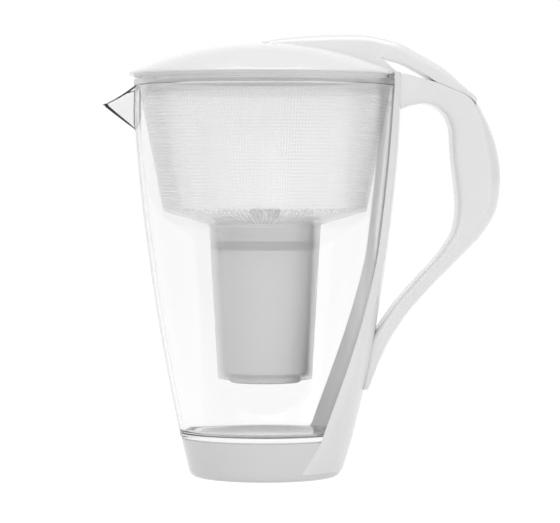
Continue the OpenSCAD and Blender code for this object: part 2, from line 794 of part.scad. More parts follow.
module inlet_screen() {
    color(rubber_color)
    translate([0, 0, media_top_z + fit / 2])
        cylinder(r = cup_r(media_top_z) - cup_wall - 0.3, h = screen_t);
}

module outlet_screen() {
    color(rubber_color)
    translate([0, 0, outlet_z + cup_wall + fit / 2])
        cylinder(r = outlet_r - cup_wall - fit, h = screen_t);
}

module filter_media() {
    low_z = outlet_z + cup_wall + screen_t + fit;
    step_z = cup_floor_z + 3.5 + fit;
    color([0.35, 0.33, 0.32])
    rotate_extrude() polygon([
        [0, low_z], [outlet_r - cup_wall - 0.3, low_z], [outlet_r - cup_wall - 0.3, step_z],
        [cup_r(step_z) - cup_wall - 0.8, step_z],
        [cup_r(media_top_z) - cup_wall - 0.3, media_top_z], [0, media_top_z]]);
}

clear_jug();
base_cup();
base_plate();
foot_ring();
handle_spine();
handle_cover();
reservoir();
lid_shell();
lid_liner();
hinge_pin();
flap_shell();
flap_liner();
tail_cover();
cartridge_cup();
cartridge_cap();
cartridge_seal();
inlet_screen();
outlet_screen();
filter_media();
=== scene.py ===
import math

import bpy
import numpy as np
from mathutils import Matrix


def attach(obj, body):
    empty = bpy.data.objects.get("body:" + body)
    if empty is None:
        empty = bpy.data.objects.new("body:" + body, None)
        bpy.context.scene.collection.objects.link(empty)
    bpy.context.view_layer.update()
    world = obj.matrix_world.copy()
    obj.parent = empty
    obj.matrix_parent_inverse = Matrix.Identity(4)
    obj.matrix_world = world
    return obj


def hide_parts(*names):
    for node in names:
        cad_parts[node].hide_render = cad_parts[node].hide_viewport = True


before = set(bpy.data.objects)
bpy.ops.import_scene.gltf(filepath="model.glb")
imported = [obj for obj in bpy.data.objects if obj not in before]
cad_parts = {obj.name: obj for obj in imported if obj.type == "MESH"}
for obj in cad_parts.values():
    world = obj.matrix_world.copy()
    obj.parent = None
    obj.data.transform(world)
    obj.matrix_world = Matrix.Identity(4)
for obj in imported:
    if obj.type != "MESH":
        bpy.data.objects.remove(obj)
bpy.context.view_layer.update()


# The jug is one clear moulding: a round, slightly swollen cone with a V-shaped pouring lip at its
# rim and a short ring under its floor that plugs into the base.

rim_z = 0.240
rim_round = 0.0008
jug_foot_z = 0.0246
jug_foot_r = 0.0518
jug_flare = 0.0292
jug_swell = 0.0176
jug_wall = 0.0024
floor_z = 0.0276
floor_corner = 0.003
plug_inner_r = 0.0376
plug_outer_r = 0.0400
plug_low_z = 0.0176
lip_angle = 0.50
lip_tip_x = 0.0995
lip_half = 0.0175
lip_low_z = 0.2125
lip_tip_z = 0.2278
lip_edge_z = 0.2395
lip_edge_x = 0.0795
lip_edge_run = 0.0195
lip_edge_fall = 0.0113


class Number:
    """A value in a material's node tree. Arithmetic on it adds Math nodes."""

    def __init__(self, finish, socket):
        self.finish = finish
        self.socket = socket

    def math(self, operation, *others):
        """A Math node on this value and the others."""
        sockets = {0: self}
        for place, other in enumerate(others):
            sockets[place + 1] = other
        return self.finish.node("ShaderNodeMath", {"operation": operation}, sockets)

    def swapped(self, operation, other):
        """The same with this value as the second of the two."""
        return self.finish.node("ShaderNodeMath", {"operation": operation}, {0: other, 1: self})

    def __add__(self, other):
        return self.math("ADD", other)

    def __radd__(self, other):
        return self.math("ADD", other)

    def __sub__(self, other):
        return self.math("SUBTRACT", other)

    def __rsub__(self, other):
        return self.swapped("SUBTRACT", other)

    def __mul__(self, other):
        return self.math("MULTIPLY", other)

    def __rmul__(self, other):
        return self.math("MULTIPLY", other)

    def __truediv__(self, other):
        return self.math("DIVIDE", other)

    def __pow__(self, other):
        return self.math("POWER", other)

    def clamped(self):
        """The value held between 0 and 1."""
        return self.math("MAXIMUM", 0.0).math("MINIMUM", 1.0)


class Finish:
    """A material's node tree, which the methods below fill."""

    def __init__(self, name):
        self.material = bpy.data.materials.new(name)
        self.material.use_nodes = True
        self.tree = self.material.node_tree
        self.tree.nodes.clear()
        self.place = self.node("ShaderNodeTexCoord", {}, {}, "Object")

    def node(self, kind, settings, sockets, out=0):
        """Adds a node: first its settings, then the values or links of its sockets."""
        made = self.tree.nodes.new(kind)
        for name, value in settings.items():
            setattr(made, name, value)
        for name, value in sockets.items():
            if isinstance(value, Number):
                self.tree.links.new(value.socket, made.inputs[name])
            else:
                made.inputs[name].default_value = value
        return Number(self, made.outputs[out])

    def axes(self):
        """X, Y and Z of the point in the frame, in metres."""
        split = self.node("ShaderNodeSeparateXYZ", {}, {0: self.place}).socket.node
        return [Number(self, split.outputs[k]) for k in range(3)]

    def noise(self, scale, detail=2.0):
        """Soft random patches, scale of them to a metre."""
        sockets = {"Vector": self.place, "Scale": scale, "Detail": detail, "Roughness": 0.5}
        return self.node("ShaderNodeTexNoise", {}, sockets)

    def colour(self, share, a, b):
        """A colour between a and b by share."""
        sockets = {0: share, 6: (*a, 1.0), 7: (*b, 1.0)}
        return self.node("ShaderNodeMix", {"data_type": "RGBA"}, sockets, 2)

    def rays(self, *kinds):
        """1 for the kinds of ray named, such as Is Shadow Ray, and 0 for others."""
        light_path = self.node("ShaderNodeLightPath", {}, {}).socket.node
        found = Number(self, light_path.outputs[kinds[0]])
        for kind in kinds[1:]:
            found = found.math("MAXIMUM", Number(self, light_path.outputs[kind]))
        return found

    def bump(self, height, depth, strength):
        """A height that is felt in the shading alone, depth metres deep."""
        return self.node("ShaderNodeBump", {}, {"Strength": strength, "Distance": depth, "Height": height})

    def plastic(self, sockets):
        return self.node("ShaderNodeBsdfPrincipled", {}, sockets)

    def open_air(self, level):
        """A surface that lets light straight through and keeps the given share of it."""
        return self.node("ShaderNodeBsdfTransparent", {}, {"Color": (level, level, level, 1.0)})

    def mixed(self, share, first, second):
        """The first shader where share is 0, the second where it is 1."""
        return self.node("ShaderNodeMixShader", {}, {0: share, 1: first, 2: second})

    def show(self, shader):
        """Sets the finished shader as the material's surface."""
        output = self.tree.nodes.new("ShaderNodeOutputMaterial")
        self.tree.links.new(shader.socket, output.inputs["Surface"])
        return self.material


def jug_radius(z):
    """Radius of the jug's outside: a straight line from foot to rim plus a parabola."""
    s = np.clip((z - jug_foot_z) / (rim_z - jug_foot_z), 0, 1)
    return jug_foot_r + jug_flare * s + jug_swell * s * (1 - s)


def jug_reach(angle, z, inset):
    """Distance of the wall from the axis at an angle from the spout's direction. Past the round
    wall it follows a straight line from the wall, half a width out, to the spout's ridge, and the
    larger of the two distances is taken with a soft change between them."""
    wall = jug_radius(z) - inset
    rise = np.clip((z - lip_low_z) / (lip_tip_z - lip_low_z), 0, 1)
    ridge = wall + (lip_tip_x - inset * 1.5 - wall) * rise
    spread = np.clip((z - lip_low_z + 0.001) / (rim_z - lip_low_z), 0.02, 1) ** 0.75
    half = (lip_half - inset * 0.8) * spread
    root = np.sqrt(wall * wall - half * half)
    turn = np.minimum(np.sqrt(angle * angle + 0.0000025), lip_angle)
    line = ridge * half / (half * np.cos(turn) + (ridge - root) * np.sin(turn))
    edge = np.arcsin(half / wall)
    line = np.where(turn > edge, np.minimum(line, wall - (turn - edge) * 0.5 * wall), line)
    soft = 0.0004
    return (wall + line + np.sqrt((wall - line) ** 2 + soft * soft)) / 2


def lip_height(angle):
    """Height of the jug's edge: the rim, falling to the spout's tip in step with its reach."""
    out = jug_reach(angle, np.full_like(angle, lip_edge_z), 0.0) * np.cos(angle)
    fall = np.clip((out - lip_edge_x) / lip_edge_run, 0, 1) * (np.abs(angle) < lip_angle)
    return rim_z - lip_edge_fall * fall


def skin(name, grid, along=False, angle=35.0):
    """A mesh over a grid of points, rows by columns: one quad between each four neighbours. The
    last column joins the first, and along joins the last row to the first as well. An edge
    sharper than angle, in degrees, stays crisp."""
    rows, columns = grid.shape[:2]
    down = np.arange(rows if along else rows - 1)
    i, j = np.meshgrid(down, np.arange(columns), indexing="ij")
    i2 = (i + 1) % rows
    j2 = (j + 1) % columns
    quads = np.stack([i * columns + j, i * columns + j2, i2 * columns + j2, i2 * columns + j], -1)
    return sewn(name, grid.reshape(-1, 3), quads.reshape(-1, 4), angle)


def sewn(name, points, faces, angle=35.0):
    """A mesh of points and quads. Points that fall together are merged, and all faces turn over
    where the volume that they close, summed from corner products, comes out negative."""
    keys = np.round(points / 1e-7).astype(np.int64)
    _, first, same = np.unique(keys, axis=0, return_index=True, return_inverse=True)
    points = points[first]
    faces = same.reshape(-1)[faces]
    a, b, c, d = (points[faces[:, k]] for k in range(4))
    first_half = np.einsum("ij,ij->i", a, np.cross(b, c)).sum()
    volume = first_half + np.einsum("ij,ij->i", a, np.cross(c, d)).sum()
    if volume < 0:
        faces = faces[:, ::-1]
    polygons = []
    for face in faces.tolist():
        kept = [v for k, v in enumerate(face) if v != face[k - 1]]
        if len(set(kept)) > 2:
            polygons.append(kept)
    mesh = bpy.data.meshes.new(name)
    mesh.from_pydata(points.tolist(), [], polygons)
    mesh.validate()
    mesh.polygons.foreach_set("use_smooth", np.ones(len(mesh.polygons), bool))
    mesh.set_sharp_from_angle(angle=math.radians(angle))
    piece = bpy.data.objects.new(name, mesh)
    bpy.context.scene.collection.objects.link(piece)
    return piece


def placed(piece, body, nodes, material):
    """Gives a finished piece its material, its body and the nodes that it stands for."""
    piece.data.materials.clear()
    piece.data.materials.append(material)
    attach(piece, body)
    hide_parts(*nodes)
    return piece


near_lip = np.linspace(-lip_angle, lip_angle, 121)
far_side = np.linspace(lip_angle, 2 * math.pi - lip_angle, 193)[1:-1]
jug_angle = np.concatenate([near_lip, far_side])
jug_turn = np.where(jug_angle > math.pi, jug_angle - 2 * math.pi, jug_angle)
edge_z = lip_height(jug_turn)


def jug_rows(levels, inset, top_drop):
    """Rows of the wall: level 0 at the foot and 1 at the edge, less top_drop."""
    low_z = jug_foot_z + 0.0001
    z = low_z + (edge_z - top_drop - jug_foot_z - 0.0001) * levels[:, None]
    reach = jug_reach(jug_turn[None, :] + 0 * z, z, inset)
    return np.stack([-reach * np.cos(jug_turn), -reach * np.sin(jug_turn), z], -1)


def ring_rows(radius_z):
    """Rows of plain rings, each a radius and a height, on the jug's columns."""
    r = np.array(radius_z)[:, 0][:, None]
    z = np.array(radius_z)[:, 1][:, None] + 0 * jug_turn[None, :]
    return np.stack([-r * np.cos(jug_turn), -r * np.sin(jug_turn), z], -1)


wall_levels = 1 - (1 - np.linspace(0, 1, 148)) ** 1.35
outer_rows = jug_rows(wall_levels, 0.0, rim_round)
edge_rows = []
for e in np.linspace(0, math.pi, 7)[1:-1]:
    inset = jug_wall * (0.5 - 0.5 * math.cos(e))
    edge_rows.append(jug_rows(np.array([1.0]), inset, rim_round * (1 - math.sin(e))))
inner_rows = jug_rows(wall_levels[::-1], jug_wall, rim_round)
corner_z = floor_z + floor_corner
inner_rows = inner_rows[inner_rows[:, 0, 2] > corner_z]
corner_r = float(jug_radius(np.array(corner_z))) - jug_wall - floor_corner
corner = [
    (corner_r + floor_corner * math.cos(a), corner_z - floor_corner * math.sin(a))
    for a in np.linspace(0, math.pi / 2, 7)
]
under = [
    (0, floor_z),
    (0, jug_foot_z),
    (plug_inner_r, jug_foot_z),
    (plug_inner_r, plug_low_z),
    (plug_outer_r, plug_low_z),
    (plug_outer_r, jug_foot_z),
    (jug_foot_r - 0.0004, jug_foot_z),
]
jug_grid = np.concatenate([outer_rows, *edge_rows, inner_rows, ring_rows(corner + under)])
jug = skin("clear_jug_body", jug_grid, along=True)

clear = Finish("clear_plastic")
clear_body = clear.plastic(
    {
        "Base Color": (0.945, 0.945, 0.945, 1.0),
        "Roughness": 0.02,
        "IOR": 1.49,
        "Transmission Weight": 1.0,
        "Normal": clear.bump(clear.noise(9.0), 0.0006, 0.12),
    }
)
clear_look = clear.mixed(clear.rays("Is Shadow Ray", "Is Diffuse Ray"), clear_body, clear.open_air(0.97))
placed(jug, "jug", ["clear_jug"], clear.show(clear_look))


# The base is a white moulded cup that closes the jug from below. Its foot is rounded, its upper
# edge meets the clear wall, and the ring under the jug's floor plugs into its socket.

deck_radius = 0.0496
deck_low_z = 0.0239


def turned(name, profile, columns=256, angle=35.0):
    """A closed outline of radius and height, turned round the Z axis."""
    outline = np.array(profile, float)
    theta = np.linspace(0, 2 * math.pi, columns, endpoint=False)
    r, z = outline[:, 0][:, None], outline[:, 1][:, None]
    grid = np.stack([r * np.cos(theta), r * np.sin(theta), z + 0 * theta], -1)
    return skin(name, grid, along=True, angle=angle)


def bent(start, corner_at, end, steps=8):
    """Points of a quadratic curve from start to end that is pulled towards the corner."""
    s = np.linspace(0, 1, steps)[:, None]
    a, b, c = np.array(start), np.array(corner_at), np.array(end)
    return ((1 - s) ** 2 * a + 2 * s * (1 - s) * b + s * s * c).tolist()


base_outline = (
    [(0.0409, 0.0)]
    + bent((0.0414, 0.0), (0.0462, 0.0), (0.0471, 0.0052), 12)
    + bent((0.0514, 0.0231), (0.0516, 0.0238), (0.0510, 0.0238), 5)
    + [(0.0498, 0.0238), (0.0498, 0.0245), (0.0401, 0.0245), (0.0401, 0.0165), (0.0425, 0.0165)]
    + [(0.0425, 0.0221), (0.0492, 0.0221), (0.0448, 0.0052), (0.0409, 0.0034)]
)
base = turned("base_cup_body", base_outline, 320)


def white_moulding(name, tone=(0.90, 0.90, 0.90), painted_deck_shade=None):
    """Glossy white moulded plastic: a faint cloudiness in the tone, and a shallow waviness with
    fine grain in the gloss, as a polished mould leaves it. The deck tone, when given, is painted
    shade: a darker colour laid on the base's flat top for the shade under the jug's floor."""
    white = Finish(name)
    cloud = white.noise(14.0, 3.0)
    grain = white.noise(900.0, 2.0)
    tint = white.colour(cloud, [0.985 * c for c in tone], tone)
    if painted_deck_shade:
        # Painted shade: inside the jug's foot, the base's flat top takes the darker deck tone for the shade
        # under the jug's floor.
        x, y, z = white.axes()
        above = ((z - deck_low_z) * 8000).clamped()
        painted_deck_shade_area = ((deck_radius - (x * x + y * y) ** 0.5) * 4000).clamped() * above
        sockets = {0: painted_deck_shade_area, 6: tint, 7: (painted_deck_shade, painted_deck_shade, painted_deck_shade, 1.0)}
        tint = white.node("ShaderNodeMix", {"data_type": "RGBA"}, sockets, 2)
    rough = 0.12 + 0.05 * cloud + 0.03 * grain
    wave = white.noise(22.0, 1.0)
    return white.show(
        white.plastic(
            {
                "Base Color": tint,
                "Roughness": rough,
                "IOR": 1.50,
                "Normal": white.bump(wave + 0.004 * grain, 0.0004, 0.08),
            }
        )
    )


# Painted shade: the base's white plastic gets a darker tone (0.80) than the other white mouldings for the
# shade near the floor, and a darker deck tone (0.44) on its flat top for the shade under the jug's floor.
white_base_painted_shade = white_moulding("white_plastic_base_painted_shade", (0.80, 0.80, 0.80), 0.44)
placed(base, "jug", ["base_cup"], white_base_painted_shade)


# The strap is the white band that grips the jug from under the rim down over the base, and the
# finger half of the handle is moulded in one piece with it.

strap_top_z = 0.2478
strap_foot_z = 0.0045
strap_narrow = 0.025
strap_flare = 0.0178
strap_flare_z = 0.137
base_foot_r = 0.0454
handle_reach = 0.0654
handle_drop = 0.194
handle_start = 0.0035
handle_half_w = 0.0135
handle_wall = 0.0024
handle_sunk = 0.0033


def through(points, t):
    """A smooth curve through the points (Catmull-Rom), t from 0 to 1 across all of them."""
    p = np.array(points, float)
    n = len(p) - 1
    u = np.clip(t, 0, 1) * n
    i = np.minimum(np.floor(u).astype(int), n - 1)
    f = (u - i)[:, None]
    a, b = p[np.maximum(i - 1, 0)], p[i]
    c, d = p[i + 1], p[np.minimum(i + 2, n)]
    return 0.5 * (2 * b + f * (c - a) + f * f * (2 * a - 5 * b + 4 * c - d) + f**3 * (3 * b - a - 3 * c + d))


def squared(v, n):
    """Power of a sine or cosine that squares off an ellipse."""
    return np.sign(v) * np.abs(v) ** (2 / n)


def outside(z):
    """Radius of the jug above the base and of the base below it."""
    base_r = base_foot_r + (jug_foot_r - base_foot_r) * z / jug_foot_z
    return np.where(z < jug_foot_z, base_r, jug_radius(z))


def strap_half(z):
    """Half width of the strap: even under the rim, then a quarter wave out towards the base, and
    a straight line out below the base's edge."""
    s = np.clip((strap_flare_z - z) / (strap_flare_z - jug_foot_z), 0, 1)
    below = np.clip(jug_foot_z - z, 0, 1)
    return strap_narrow + strap_flare * np.sin(math.pi / 2 * s**1.15) + 0.08 * below


def strap_thick(z):
    """Thickness of the strap: full above the base, thinner over it, thinnest under its crease."""
    heights = [0.0, 0.0127, 0.026, 0.064, 0.200, 0.2478]
    return np.interp(z, heights, [0.0008, 0.0018, 0.0022, 0.0035, 0.0035, 0.0024])


strap_z = np.concatenate([np.linspace(strap_foot_z, 0.030, 30), np.linspace(0.030, strap_top_z, 130)[1:]])
# Columns close together over the bevelled edge, as shares of its width, and even ones between.
edge_in = np.array([0, 0.12, 0.25, 0.40, 0.55, 0.70, 0.82, 0.90, 0.95, 1.0, 1.05, 1.1, 1.2, 1.4])[None, :]
bevel_w = np.interp(strap_z, [0.0, 0.026, 0.075, 0.140], [0.0016, 0.0018, 0.0042, 0.0050])[:, None]
half = strap_half(strap_z)[:, None]
inner = (half - 1.4 * bevel_w) * np.linspace(-1, 1, 31)[None, 1:-1]
across = np.concatenate([edge_in * bevel_w - half, inner, (half - edge_in * bevel_w)[:, ::-1]], 1)
# The thickness climbs along the bevel and is full past it, with a soft change between the two.
slope = np.clip((half - np.abs(across)) / bevel_w, 0, 1.4)
swell = (slope + 1 - np.sqrt((slope - 1) ** 2 + 0.004)) / 2
swell = swell / swell.max()
strap_angle = np.arcsin(across / (outside(strap_z)[:, None] + 0.002))
thick = strap_thick(strap_z)[:, None] * (0.14 + 0.86 * swell)
front_r = outside(strap_z)[:, None] + thick
back_r = outside(strap_z)[:, None] + 0.0001 + 0 * strap_angle
strap_high = strap_z[:, None] + 0 * strap_angle
strap_front = np.stack([front_r * np.cos(strap_angle), front_r * np.sin(strap_angle), strap_high], -1)
strap_back = np.stack([back_r * np.cos(strap_angle), back_r * np.sin(strap_angle), strap_high], -1)
strap_grid = np.concatenate([strap_front, strap_back[:, ::-1]], 1)

# Stations down the handle. Each gives the finger side and then the outer side as shares of the
# reach and of the drop, the share of the half width, how square each half's section is, and how
# far across the seam lies.
handle_rows = np.array(
    [
        [0.00, 0.115, 0.012, 0.004, 1.24, 6.0, 4.5, 0.93],
        [0.10, 0.103, 0.12, 0.014, 1.07, 6.0, 4.5, 0.93],
        [0.21, 0.098, 0.31, 0.030, 1.00, 7.0, 4.5, 0.92],
        [0.33, 0.110, 0.45, 0.047, 1.00, 7.0, 4.0, 0.87],
        [0.415, 0.135, 0.58, 0.060, 1.00, 7.0, 3.0, 0.82],
        [0.45, 0.155, 0.69, 0.084, 1.00, 7.0, 2.3, 0.77],
        [0.48, 0.185, 0.815, 0.148, 1.00, 7.0, 1.8, 0.73],
        [0.50, 0.235, 0.91, 0.216, 1.00, 7.0, 1.55, 0.70],
        [0.525, 0.285, 0.975, 0.288, 1.00, 7.0, 1.5, 0.70],
        [0.575, 0.365, 1.00, 0.360, 1.00, 7.0, 1.5, 0.70],
        [0.61, 0.435, 0.983, 0.440, 1.00, 7.0, 1.5, 0.70],
        [0.60, 0.498, 0.88, 0.514, 0.96, 7.0, 1.5, 0.70],
        [0.545, 0.540, 0.76, 0.563, 0.93, 7.0, 1.5, 0.72],
        [0.455, 0.590, 0.62, 0.618, 0.90, 7.0, 1.5, 0.73],
        [0.335, 0.640, 0.48, 0.673, 0.89, 7.0, 1.5, 0.74],
        [0.155, 0.722, 0.305, 0.752, 0.92, 7.0, 1.5, 0.74],
        [0.05, 0.786, 0.214, 0.806, 0.97, 7.0, 1.5, 0.72],
        [-0.035, 0.850, 0.148, 0.857, 1.04, 7.0, 1.5, 0.70],
        [-0.04, 0.920, 0.088, 0.924, 1.12, 7.0, 1.5, 0.68],
        [-0.04, 1.000, 0.035, 1.000, 1.20, 7.0, 1.5, 0.68],
    ]
)


def handle_spot(u, v):
    """A place given as a share of the reach and of the drop, in the plane of symmetry."""
    z = strap_top_z - v * handle_drop
    return np.stack([jug_radius(z) + handle_start + u * handle_reach, z], -1)


def handle_half(side, to_t):
    """Half a tube along the handle: a squared half ellipse outside, and inside it the same with
    the wall taken off, as the way back. side is 1 for the outer half, -1 for the finger half."""
    row = through(handle_rows, np.linspace(0, to_t, 220))
    a = handle_spot(row[:, 0], row[:, 1])
    b = handle_spot(row[:, 2], row[:, 3])
    seam = a + (b - a) * row[:, 7:]
    deep = np.linalg.norm(b - a, axis=1)
    way = (b - a) / deep[:, None]
    h = deep * (row[:, 7] if side < 0 else 1 - row[:, 7])
    w = row[:, 4] * handle_half_w
    wall = np.minimum(handle_wall, h * 0.7)
    p = np.linspace(0, math.pi, 31)
    n = (row[:, 5] if side < 0 else row[:, 6])[:, None]
    out_y = squared(np.cos(p)[None, :], n) * w[:, None]
    out_s = side * squared(np.sin(p)[None, :], n) * h[:, None]
    in_y = squared(np.cos(p[::-1])[None, :], n) * (w - handle_wall)[:, None]
    in_s = side * squared(np.sin(p[::-1])[None, :], n) * (h - wall)[:, None]
    y = np.concatenate([out_y, in_y], 1)
    s = np.concatenate([out_s, in_s], 1)
    near_seam = 0.00012 * np.exp(-np.abs(s) / 0.0003)
    y = y - np.sign(y) * np.minimum(near_seam, np.abs(y))
    return np.stack([seam[:, :1] + way[:, :1] * s, y, seam[:, 1:] + way[:, 1:] * s], -1)


def closed_rows(grid, sunk=0.0):
    """Adds a point at each end so that the first and last ring are closed. A sunk grid starts
    that much further back, with its first ring repeated there."""
    if sunk:
        grid = np.concatenate([grid[:1] - np.array([sunk, 0, 0]), grid])
    first = np.repeat(grid[:1].mean(1, keepdims=True), grid.shape[1], 1)
    last = np.repeat(grid[-1:].mean(1, keepdims=True), grid.shape[1], 1)
    return np.concatenate([first, grid, last])


def joined(name, pieces):
    """Several meshes made into one object."""
    with bpy.context.temp_override(active_object=pieces[0], selected_editable_objects=pieces):
        bpy.ops.object.join()
    pieces[0].name = name
    return pieces[0]


strap = skin("strap", closed_rows(strap_grid))
finger_half = skin("finger_half", closed_rows(handle_half(-1, 1), handle_sunk), angle=50)
spine = joined("strap_and_finger_half", [strap, finger_half])
white_handle = white_moulding("white_plastic_handle")
placed(spine, "jug", ["handle_spine"], white_handle)


# The outer half of the handle is a second white shell. It snaps onto the finger half along a fine
# seam, and the two make a light, hollow grip.

outer_half = skin("handle_outer_half", closed_rows(handle_half(1, 0.99), handle_sunk), angle=50)
placed(outer_half, "jug", ["handle_cover"], white_handle)


# The reservoir is the frosted funnel that hangs on the jug's rim by its flange. Its long sleeve
# takes the filter cartridge. Rows of fine dots cover its wall, and ribs fan out on its shoulder.

dots_round = 240
dot_row = 0.0021
ribs_round = 120
dots_low_z = 0.1645
dots_top_z = 0.2380
ribs_inner_r = 0.0375
ribs_top_z = 0.1650

res_outline = (
    [(0.0804, 0.2401), (0.0804, 0.2432), (0.0800, 0.2436), (0.0758, 0.2436)]
    + bent((0.0613, 0.1660), (0.0611, 0.1644), (0.0594, 0.1640), 8)
    + bent((0.0372, 0.1574), (0.0325, 0.1560), (0.0323, 0.1530), 8)
    + [(0.0271, 0.0621), (0.0237, 0.0621), (0.0237, 0.0602), (0.0280, 0.0602)]
    + bent((0.0286, 0.0602), (0.0290, 0.0602), (0.0290, 0.0612), 4)
    + bent((0.0342, 0.1536), (0.0343, 0.1549), (0.0360, 0.1552), 6)
    + bent((0.0606, 0.1624), (0.0624, 0.1626), (0.0627, 0.1644), 8)
    + [(0.0773, 0.2401)]
)


def finer(outline, step):
    """The outline with points added so that none are further apart than step."""
    out = []
    for a, b in zip(outline, outline[1:] + outline[:1]):
        count = max(1, math.ceil(math.dist(a, b) / step))
        out += [(a[0] + (b[0] - a[0]) * k / count, a[1] + (b[1] - a[1]) * k / count) for k in range(count)]
    return out


reservoir = turned("reservoir_body", finer(res_outline, 0.004), 360, 45)

frost = Finish("frosted_plastic")
x, y, z = frost.axes()
round_angle = y.math("ARCTAN2", x)
out_from_axis = (x * x + y * y) ** 0.5
column = (round_angle * (dots_round / (2 * math.pi))).math("FRACT") - 0.5
row = (z / dot_row).math("FRACT") - 0.5
spot = 1 - ((column * column + row * row) ** 0.5 * 2.8).clamped()
on_funnel = ((z - dots_low_z) * 900).clamped() * ((dots_top_z - z) * 900).clamped()
on_shoulder = ((out_from_axis - ribs_inner_r) * 900).clamped() * ((ribs_top_z - z) * 900).clamped()
rib_share = (round_angle * (ribs_round / (2 * math.pi))).math("FRACT") - 0.5
rib = 1 - (rib_share.math("ABSOLUTE") * 3.0).clamped()
relief = spot * on_funnel + rib * on_shoulder
cloud = frost.noise(30.0, 3.0)
frost_body = frost.plastic(
    {
        "Base Color": frost.colour(cloud, (0.98, 0.98, 0.98), (1.0, 1.0, 1.0)),
        "Roughness": 0.30 + 0.06 * cloud,
        "IOR": 1.18,
        "Transmission Weight": 0.80,
        "Normal": frost.bump(cloud, 0.0004, 0.1),
    }
)
edge_on = frost.node("ShaderNodeLayerWeight", {}, {"Blend": 0.5}, "Facing")
clear_share = 0.74 - 0.30 * edge_on * edge_on + relief * (0.16 + 0.25 * edge_on)
frost_wall = frost.mixed(clear_share, frost_body, frost.open_air(1.0))
frost_look = frost.mixed(frost.rays("Is Shadow Ray", "Is Diffuse Ray"), frost_wall, frost.open_air(0.95))
placed(reservoir, "hopper", ["reservoir"], frost.show(frost_look))


# The lid is a shallow white dome on the rim of the reservoir. A round mouth is cut in it for
# filling, and a flat cut on each side leaves a lens-shaped facet.

lid_radius = 0.0813
lid_shift = 0.002
lid_edge_z = 0.2461
lid_wall = 0.0022
crest_z = 0.2658
ball_r = 0.19068
ball_z = 0.07512
flap_centre_x = 0.030
flap_radius = 0.036
flap_gap = 0.0004
mouth_back_x = 0.0041
facet_mid = lid_radius * 0.82
facet_deep = 0.0011
facet_tilt = math.asin(facet_mid / ball_r)


def dome_z(x, y, depth=0.0):
    """Height of the dome at x, y: a ball, less depth, with a flat cut on each side."""
    ball = ball_z + np.sqrt((ball_r - depth) ** 2 - (x + lid_shift) ** 2 - y * y)
    drop = ball_r - math.sqrt(ball_r**2 - facet_mid**2)
    slant = (np.abs(y) - facet_mid) * math.tan(facet_tilt)
    flat = crest_z - drop - facet_deep / math.cos(facet_tilt) - slant - depth
    soft = 0.00004
    return (ball + flat - np.sqrt((ball - flat) ** 2 + soft * soft)) / 2


def mouth_edge(theta, radius, back_x):
    """Outline of the mouth: a circle that is cut straight behind the hinge."""
    c = np.cos(theta)
    s = np.sin(theta)
    to_back = (flap_centre_x - back_x) / np.maximum(-c, 1e-6)
    reach = np.where(c < 0, np.minimum(radius, to_back), radius)
    return flap_centre_x + reach * c, reach * s


def lid_outline(theta, radius):
    """The lid's round edge, met by rays from the mouth's centre."""
    dx = flap_centre_x + lid_shift
    c = np.cos(theta)
    s = np.sin(theta)
    reach = -dx * c + np.sqrt(radius**2 - (dx * s) ** 2)
    return flap_centre_x + reach * c, reach * s


back_turn = math.acos((mouth_back_x - flap_centre_x) / (flap_radius + flap_gap))
lid_theta = np.concatenate(
    [np.linspace(-back_turn, back_turn, 241)[:-1], np.linspace(back_turn, 2 * math.pi - back_turn, 81)[:-1]]
)


def dome_rows(edge_x, edge_y, share, depth=0.0):
    """Rows of the dome on straight rays from the mouth's edge to an outer edge."""
    x = in_x + (edge_x - in_x) * share[:, None]
    y = in_y + (edge_y - in_y) * share[:, None]
    return np.stack([x, y, dome_z(x, y, depth)], -1)


in_x, in_y = mouth_edge(lid_theta, flap_radius + flap_gap, mouth_back_x)
top = dome_rows(*lid_outline(lid_theta, lid_radius - 0.0008), np.linspace(0, 1, 60) ** 0.9)
under_edge = lid_outline(lid_theta, lid_radius - lid_wall - 0.0004)
under_dome = dome_rows(*under_edge, np.linspace(1, 0, 30), lid_wall)
lip_x, lip_y = lid_outline(lid_theta, lid_radius)
lip = [np.stack([lip_x, lip_y, dome_z(lip_x, lip_y) - drop], -1)[None] for drop in (0.0006, 0.0013)]
for inset, rise in ((0.0, 0.0003), (0.0003, 0.0), (lid_wall, 0.0)):
    lip_x, lip_y = lid_outline(lid_theta, lid_radius - inset)
    lip.append(np.stack([lip_x, lip_y, 0 * lip_x + lid_edge_z + rise], -1)[None])
lid = skin("lid_dome", np.concatenate([top, *lip, under_dome]), along=True, angle=8)
white_lid = white_moulding("white_plastic_lid")
placed(lid, "lid", ["lid_shell"], white_lid)


# The flap closes the mouth with a round plate that lies flush with the dome. A tall fin runs over
# it from the hinge and ends as the tail that a thumb lifts off the handle.

hinge_x = -0.0005
hinge_z = 0.2641
pin_r = 0.00131
knuckle_r = 0.0026
knuckle_half = 0.012
knuckle_round = 0.0004
fin_rise = 0.0055
fin_round = 0.009
fin_half_w = 0.013
fin_top_z = crest_z + fin_rise
rim_x = lid_radius - lid_shift


def between(a, b, t):
    """The value a share t of the way from a to b."""
    return a + (b - a) * t


def outer_spot(station):
    """The place on the handle's outer side at a station."""
    row = through(handle_rows, np.array([station / (len(handle_rows) - 1)]))
    return handle_spot(row[:, 2], row[:, 3])[0]


tail = outer_spot(5)
past = tail[0] - rim_x


